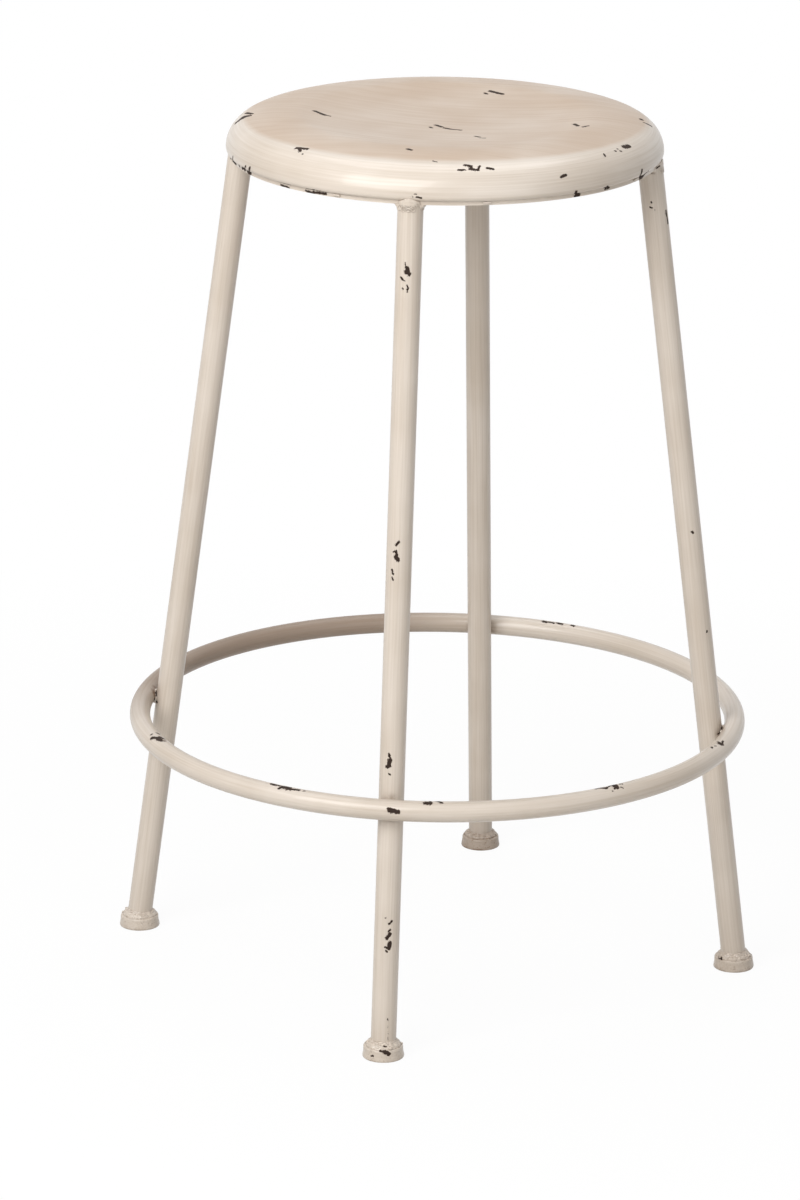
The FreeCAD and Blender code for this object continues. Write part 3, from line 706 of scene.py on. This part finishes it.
# The welds: the same paint with brown left in its pits, less of it at the seat than at the hoop
seat_weld_enamel = enamel("cream enamel on the dressed welds", round_axis, chips["seat_weld_right"],
                          corners=0.15, pits=0.3)
weld_enamel = enamel("worn cream enamel on the rough welds", round_axis,
                     chips["ring_weld_left"] + chips["ring_weld_right"], corners=0.4, pits=0.4)
print("enamels:", len(leg_enamel) + len(foot_enamel) + 5)

# %% [markdown]
# Some pieces are grown by Geometry Nodes. A tree is a recipe with named inputs: the modifier
# that runs it looks each one up by its identifier, and the result is frozen to a plain mesh. The
# tree could stay live, but a plain mesh is what a game or a printer takes.


# %% Growing a piece from a node tree
def geometry_tree(name, **inputs):
    """An empty geometry tree with a Geometry input and output, and other inputs by name."""
    return new_tree(name, "GeometryNodeTree", "Geometry", "Geometry", Geometry="Geometry", **inputs)


def finish_tree(tree, shape, material):
    """Ends a tree with smooth faces, real geometry and its material."""
    smooth = add(tree, "GeometryNodeSetShadeSmooth", {"Geometry": shape})
    real = add(tree, "GeometryNodeRealizeInstances", {"Geometry": smooth})
    painted = add(tree, "GeometryNodeSetMaterial", {"Geometry": real, "Material": material})
    add(tree, "NodeGroupOutput", {0: painted})
    return tree


def grow(name, start, tree, **values):
    """Runs a tree on a mesh and returns the result as a plain mesh object."""
    piece = new_object(name, start)
    modifier = piece.modifiers.new(name, "NODES")
    modifier.node_group = tree
    named = {value_name.replace("_", " "): value for value_name, value in values.items()}
    for socket in tree.interface.items_tree:
        if socket.in_out == "INPUT" and socket.name in named:
            modifier[socket.identifier] = named[socket.name]
    graph = bpy.context.evaluated_depsgraph_get()
    mesh = bpy.data.meshes.new_from_object(piece.evaluated_get(graph), depsgraph=graph)
    piece.modifiers.clear()
    piece.data = mesh
    mesh.name = name
    return piece


def hand_over(piece, node):
    """Lets a finished piece stand for a piece of the frame."""
    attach(piece, "root")
    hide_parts(node)
    print(piece.name, len(piece.data.polygons), "faces")


# %% [markdown]
# The seat is pressed from round sheet and the feet are turned on a lathe, so both are one half
# section swept round an axis. Spin in mesh code would do it. The tree here wraps a flat grid
# instead: its columns go round the axis and its rows follow the section's points. It can then
# push every point in or out by slow noise, because pressed sheet and hand-painted turned feet
# are never quite true, and that wobble is what bends a reflection.


# %% The lathe
def make_lathe():
    tree = geometry_tree("lathe", Steps_round="Int", Unevenness="Float", Wave_length="Float",
                         Seed="Float", Axis="Vector", Material="Material")
    given = add(tree, "NodeGroupInput").outputs
    count = add(tree, "GeometryNodeAttributeDomainSize", {0: given["Geometry"]}, component="MESH")
    points = count.outputs["Point Count"]
    columns = add(tree, MATH, {0: given["Steps round"], 1: 1.0}, operation="ADD")
    grid = add(tree, "GeometryNodeMeshGrid",
               {"Size X": 1.0, "Size Y": 1.0, "Vertices X": columns, "Vertices Y": points})
    where = add(tree, "GeometryNodeInputPosition")
    parts = add(tree, "ShaderNodeSeparateXYZ", {0: where}).outputs
    turn = add(tree, MATH, {0: parts[0], 1: 2 * math.pi}, operation="MULTIPLY")
    last_row = add(tree, MATH, {0: points, 1: 1.0}, operation="SUBTRACT")
    share = add(tree, MATH, {0: parts[1], 1: 0.5}, operation="ADD")
    row = add(tree, MATH, {0: share, 1: last_row}, operation="MULTIPLY")
    row = add(tree, MATH, {0: row}, operation="ROUND")
    on_section = add(tree, "GeometryNodeSampleIndex",
                     {"Geometry": given["Geometry"], "Value": where, "Index": row},
                     data_type="FLOAT_VECTOR", domain="POINT")
    turned = add(tree, "ShaderNodeVectorRotate", {"Vector": on_section, "Angle": turn},
                 rotation_type="Z_AXIS")
    wrapped = add(tree, "GeometryNodeSetPosition", {"Geometry": grid, "Position": turned})
    closed = add(tree, "GeometryNodeMergeByDistance", {"Geometry": wrapped, "Distance": 0.002 * MM})

    # The sole of a foot stays flat: the push fades out in the lowest two millimetres
    scale = add(tree, MATH, {0: 1.0, 1: given["Wave length"]}, operation="DIVIDE")
    wave = add(tree, NOISE, {"Vector": where, "W": given["Seed"], "Scale": scale, "Detail": 2.0},
               noise_dimensions="4D")
    swing = add(tree, MAP_RANGE, {0: wave, 1: 0.0, 2: 1.0, 3: -1.0, 4: 1.0})
    height = add(tree, "ShaderNodeSeparateXYZ", {0: where}).outputs[2]
    off_floor = add(tree, MAP_RANGE, {0: height, 1: 0.0, 2: 2 * MM, 3: 0.0, 4: 1.0})
    push = add(tree, MATH, {0: swing, 1: off_floor}, operation="MULTIPLY")
    push = add(tree, MATH, {0: push, 1: given["Unevenness"]}, operation="MULTIPLY")
    outward = add(tree, VECTORS, {0: where, 1: (1, 1, 0)}, operation="MULTIPLY")
    outward = add(tree, VECTORS, {0: outward}, operation="NORMALIZE")
    slanted = add(tree, VECTORS, {0: outward, 1: (0, 0, 1)}, operation="ADD")
    offset = add(tree, VECTORS, {0: slanted, "Scale": push}, operation="SCALE")
    uneven = add(tree, "GeometryNodeSetPosition", {"Geometry": closed, "Offset": offset})
    moved = add(tree, "GeometryNodeSetPosition", {"Geometry": uneven, "Offset": given["Axis"]})
    return finish_tree(tree, moved, given["Material"])


lathe = make_lathe()


def section_mesh(name, points):
    """Points of a half section, out from the axis and up, in millimetres, as a bare outline."""
    mesh = bpy.data.meshes.new(name)
    edges = [(count, count + 1) for count in range(len(points) - 1)]
    mesh.from_pydata([(out * MM, 0, height * MM) for out, height in points], edges, [])
    return mesh


def arc(out, height, radius, first, last, steps):
    """Points on an arc about a centre, between two angles in degrees, with both ends."""
    angles = [math.radians(first + (last - first) * step / steps) for step in range(steps + 1)]
    return [(out + radius * math.cos(angle), height + radius * math.sin(angle)) for angle in angles]


print("lathe ready")

# %% [markdown]
# The seat pan is steel sheet, pressed to a shallow dish with a broad soft shoulder, and its edge
# is turned under. Its section is five arcs that run smoothly into each other, drawn once for the
# top of the sheet and once a sheet's thickness inside. The arcs' sizes are those of the frame,
# so the new pan lies exactly where the plain one is.

# %% The seat pan
SHOULDER_WIDTH = 53
SHOULDER_RADIUS = 145
CORNER_RADIUS = 23
TUCK_RADIUS = 3.75
CROWN_RADIUS = 60
DISH_DEPTH = 9
SHEET = 1.5
FLANGE = 8


def pan_face(inside):
    """One face of the sheet, from the middle of the dish out to the end of the flange."""
    top = SEAT_TOP / MM
    radius = SEAT_RADIUS / MM
    crown_line = radius - SHOULDER_WIDTH
    dish_angle = 2 * math.atan(DISH_DEPTH / crown_line)
    dish_radius = crown_line / math.sin(dish_angle) - CROWN_RADIUS
    shoulder_angle = math.asin((SHOULDER_WIDTH - CORNER_RADIUS) / (SHOULDER_RADIUS - CORNER_RADIUS))
    widest = (top - SHOULDER_RADIUS * (1 - math.cos(shoulder_angle))
              - CORNER_RADIUS * math.cos(shoulder_angle))
    dish = math.degrees(dish_angle)
    shoulder = math.degrees(shoulder_angle)
    points = arc(0, top - DISH_DEPTH + dish_radius, dish_radius + inside, -90, -90 + dish, 26)
    points += arc(crown_line, top - CROWN_RADIUS, CROWN_RADIUS - inside, 90 + dish, 90, 12)[1:]
    points += arc(crown_line, top - SHOULDER_RADIUS, SHOULDER_RADIUS - inside, 90, 90 - shoulder, 20)[1:]
    points += arc(radius - CORNER_RADIUS, widest, CORNER_RADIUS - inside, 90 - shoulder, 0, 18)[1:]
    points += arc(radius - TUCK_RADIUS, widest, TUCK_RADIUS - inside, 0, -90, 10)[1:]
    flange_level = widest - TUCK_RADIUS + inside
    flange_steps = 4
    for step in range(1, flange_steps + 1):
        points.append((radius - TUCK_RADIUS - FLANGE * step / flange_steps, flange_level))
    points[0] = (0, points[0][1])
    return points


def make_seat_pan():
    section = pan_face(SHEET) + pan_face(0)[::-1]
    pan = grow("seat_pan_pressed", section_mesh("pan section", section), lathe,
               Steps_round=240, Unevenness=0.22 * MM, Wave_length=60 * MM, Seed=3.0,
               Axis=(0, 0, 0), Material=seat_enamel)
    hand_over(pan, "seat_pan")


make_seat_pan()

# %% [markdown]
# Each foot is a short turned boss that flares a little towards the floor, with the lathe's
# rounded edge above. The same tree turns it, with a shorter wave and more push, because thick
# paint and a rough weld have taken away its crisp edges.

# %% The feet
FOOT_OUTLINE = [
    # out and up from the middle of the sole, as a share of the foot's widest radius and height
    (0.0, 0.0), (0.35, 0.0), (0.7, 0.0), (0.955, 0.0), (0.985, 0.02), (1.0, 0.07), (0.998, 0.15),
    (0.985, 0.27), (0.967, 0.42), (0.955, 0.58), (0.952, 0.72), (0.95, 0.84), (0.935, 0.93),
    (0.905, 0.98), (0.86, 1.0), (0.72, 1.0), (0.5, 1.0), (0.25, 1.0), (0.0, 1.0),
]


def make_foot(side, seed):
    low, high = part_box(f"foot_{side}")
    radius = (high[0] - low[0]) / 2 / MM
    tall = (high[2] - low[2]) / MM
    outline = [(out * radius, rise * tall) for out, rise in FOOT_OUTLINE]
    middle = middle_of(f"foot_{side}")
    foot = grow(f"foot_{side}_turned", section_mesh(f"foot {side} section", outline), lathe,
                Steps_round=72, Unevenness=0.5 * MM, Wave_length=9 * MM, Seed=seed,
                Axis=(middle.x, middle.y, 0), Material=foot_enamel[side])
    hand_over(foot, f"foot_{side}")


for seed, side in enumerate(SIDES, start=20):
    make_foot(side, float(seed))

# %% [markdown]
# The welds are stick-welded beads under paint: soft lumps that have flowed together, with small
# pits. Sculpting would work for one, but there are thirteen. This tree scatters small balls over
# a plain weld, turns weld and balls into a volume, which melts them together, and takes the
# volume's skin. A little noise roughens it, and smoothing steps say how far the paint has filled
# it.

# %% The weld maker
JOIN_WITHIN = 0.001 * MM
SMALLEST_LUMP, LARGEST_LUMP = 0.45, 1.15


def make_weld_tree():
    tree = geometry_tree("lumpy weld", Lumps="Float", Lump_radius="Float", Grain="Float",
                         Roughness="Float", Rough_size="Float", Swell="Float", Smoothing="Int",
                         Seed="Int", Material="Material")
    given = add(tree, "NodeGroupInput").outputs
    plain = add(tree, "GeometryNodeMergeByDistance",
                {"Geometry": given["Geometry"], "Distance": JOIN_WITHIN})
    spots = add(tree, "GeometryNodeDistributePointsOnFaces",
                {"Mesh": plain, "Density": given["Lumps"], "Seed": given["Seed"]})
    size = add(tree, "FunctionNodeRandomValue",
               {2: SMALLEST_LUMP, 3: LARGEST_LUMP, "Seed": given["Seed"]}, data_type="FLOAT")
    ball = add(tree, "GeometryNodeMeshIcoSphere", {"Radius": given["Lump radius"], "Subdivisions": 2})
    lumps = add(tree, "GeometryNodeInstanceOnPoints",
                {"Points": spots, "Instance": ball, "Scale": size.outputs[1]})
    lumps = add(tree, "GeometryNodeRealizeInstances", {"Geometry": lumps})
    together = add(tree, "GeometryNodeJoinGeometry", {0: [plain, lumps]})
    volume = add(tree, "GeometryNodeMeshToVolume",
                 {"Mesh": together, "Voxel Size": given["Grain"]}, resolution_mode="VOXEL_SIZE")
    skin = add(tree, "GeometryNodeVolumeToMesh", {"Volume": volume, "Threshold": 0.1},
               resolution_mode="GRID")
    where = add(tree, "GeometryNodeInputPosition")
    calm = add(tree, "GeometryNodeBlurAttribute",
               {"Value": where, "Iterations": given["Smoothing"]}, data_type="FLOAT_VECTOR")
    soft = add(tree, "GeometryNodeSetPosition", {"Geometry": skin, "Position": calm})
    scale = add(tree, MATH, {0: 1.0, 1: given["Rough size"]}, operation="DIVIDE")
    noise = add(tree, NOISE, {"Vector": where, "Scale": scale, "Detail": 3.0})
    swing = add(tree, MAP_RANGE, {0: noise, 1: 0.25, 2: 0.75, 3: -1.0, 4: 1.0})
    push = add(tree, MATH, {0: swing, 1: given["Roughness"], 2: given["Swell"]}, operation="MULTIPLY_ADD")
    normal = add(tree, "GeometryNodeInputNormal")
    offset = add(tree, VECTORS, {0: normal, "Scale": push}, operation="SCALE")
    rough = add(tree, "GeometryNodeSetPosition", {"Geometry": soft, "Offset": offset})
    return finish_tree(tree, rough, given["Material"])


weld_tree = make_weld_tree()


def edited(mesh, change):
    """A mesh, after a function has changed its faces."""
    shape = bmesh.new()
    shape.from_mesh(mesh)
    change(shape)
    shape.to_mesh(mesh)
    shape.free()
    return mesh


def join_triangles(shape):
    """Joins the loose triangles of a piece of the frame."""
    bmesh.ops.remove_doubles(shape, verts=shape.verts, dist=JOIN_WITHIN)


def joined_copy(node):
    """A copy of a piece's mesh in the frame, with its triangles joined."""
    return edited(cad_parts[node].data.copy(), join_triangles)


print("weld maker ready")

# %% [markdown]
# The beads round the feet are the roughest, with large lumps and pits, and so fat that they reach
# nearly to the foot's edge. Each starts from a turned fillet between foot and leg. The welds at
# the seat were dressed before painting and are nearly smooth, and those behind the hoop are in
# between. A volume can leave loose crumbs beside its body, so they are taken away.

# %% The welds
WELDS = {
    # kind: lumps per square metre, lump radius, roughness, its size, swell, smoothing steps
    "foot_weld": (14000, 1.5 * MM, 0.6 * MM, 3.0 * MM, 0.0, 3),
    "ring_weld": (12000, 1.2 * MM, 0.3 * MM, 3.0 * MM, 0.0, 3),
    "seat_weld": (2500, 0.8 * MM, 0.15 * MM, 4.0 * MM, 0.1 * MM, 6),
    "pan_tacks": (8000, 0.7 * MM, 0.15 * MM, 2.5 * MM, -0.25 * MM, 8),
}
VOXEL = 0.35 * MM
WELD_LENGTH = 5.5 * MM
CRUMB_SHARE = 0.5
FILLET = [
    # out from the leg's middle line and up from the floor, in millimetres
    (8.5, 8.4), (13.4, 8.4), (14.1, 8.9), (14.2, 9.8), (13.8, 11.0), (13.0, 11.9), (12.1, 12.6),
    (11.2, 13.2), (10.6, 14.1), (10.2, 15.0), (8.5, 15.0), (8.5, 8.4),
]


def fillet_mesh(side):
    """A turned fillet round the foot of a leg, as the start of its bead."""
    low, high = LEG_LINES[side]
    blank = grow(f"fillet {side}", section_mesh(f"fillet {side}", FILLET), lathe, Steps_round=72,
                 Unevenness=0.0, Wave_length=9 * MM, Seed=0.0, Axis=(low.x, low.y, 0),
                 Material=foot_enamel[side])
    mesh = blank.data
    bpy.data.objects.remove(blank)
    return mesh


def cut_short(shape):
    """Ends a seat weld a little way under the seat ring."""
    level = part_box("seat_ring")[0][2] - WELD_LENGTH
    cut = bmesh.ops.bisect_plane(shape, geom=[*shape.verts, *shape.edges, *shape.faces],
                                 plane_co=(0, 0, level), plane_no=(0, 0, -1), clear_outer=True)
    rim = [item for item in cut["geom_cut"] if isinstance(item, bmesh.types.BMEdge)]
    bmesh.ops.holes_fill(shape, edges=rim)


def drop_crumbs(shape):
    """Takes away the loose crumbs that the volume leaves beside the bodies of a bead."""
    unseen = set(shape.verts)
    islands = []
    while unseen:
        island = [unseen.pop()]
        for vert in island:
            fresh = {edge.other_vert(vert) for edge in vert.link_edges} & unseen
            unseen -= fresh
            island.extend(fresh)
        islands.append(island)
    least = CRUMB_SHARE * max(len(island) for island in islands)
    crumbs = [vert for island in islands if len(island) < least for vert in island]
    bmesh.ops.delete(shape, geom=crumbs, context="VERTS")


def make_weld(node, kind, seed, start, material):
    lumps, lump_radius, roughness, rough_size, swell, smoothing = WELDS[kind]
    weld = grow(f"{node}_bead", start, weld_tree, Lumps=float(lumps), Lump_radius=lump_radius,
                Grain=VOXEL, Roughness=roughness, Rough_size=rough_size, Swell=swell,
                Smoothing=smoothing, Seed=seed, Material=material)
    edited(weld.data, drop_crumbs)
    hand_over(weld, node)


for seed, side in enumerate(SIDES, start=1):
    starts = {
        "foot_weld": (fillet_mesh(side), foot_enamel[side]),
        "ring_weld": (joined_copy(f"ring_weld_{side}"), weld_enamel),
        "seat_weld": (edited(joined_copy(f"seat_weld_{side}"), cut_short), seat_weld_enamel),
    }
    for kind, (start, material) in starts.items():
        make_weld(f"{kind}_{side}", kind, seed, start, material)
make_weld("pan_tacks", "pan_tacks", 5, joined_copy("pan_tacks"), trim_enamel)

# %% [markdown]
# The legs, the hoop and the flat ring under the seat are plain drawn tube and bar, so the
# frame's own meshes are right as they are. They only get their enamel.

# %% Paint the tubes
def paint(node, material):
    """Gives a piece of the frame its finish."""
    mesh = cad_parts[node].data
    mesh.materials.clear()
    mesh.materials.append(material)


for side in SIDES:
    paint(f"leg_{side}", leg_enamel[side])
paint("foot_ring", hoop_enamel)
paint("seat_ring", trim_enamel)
print("tubes painted")
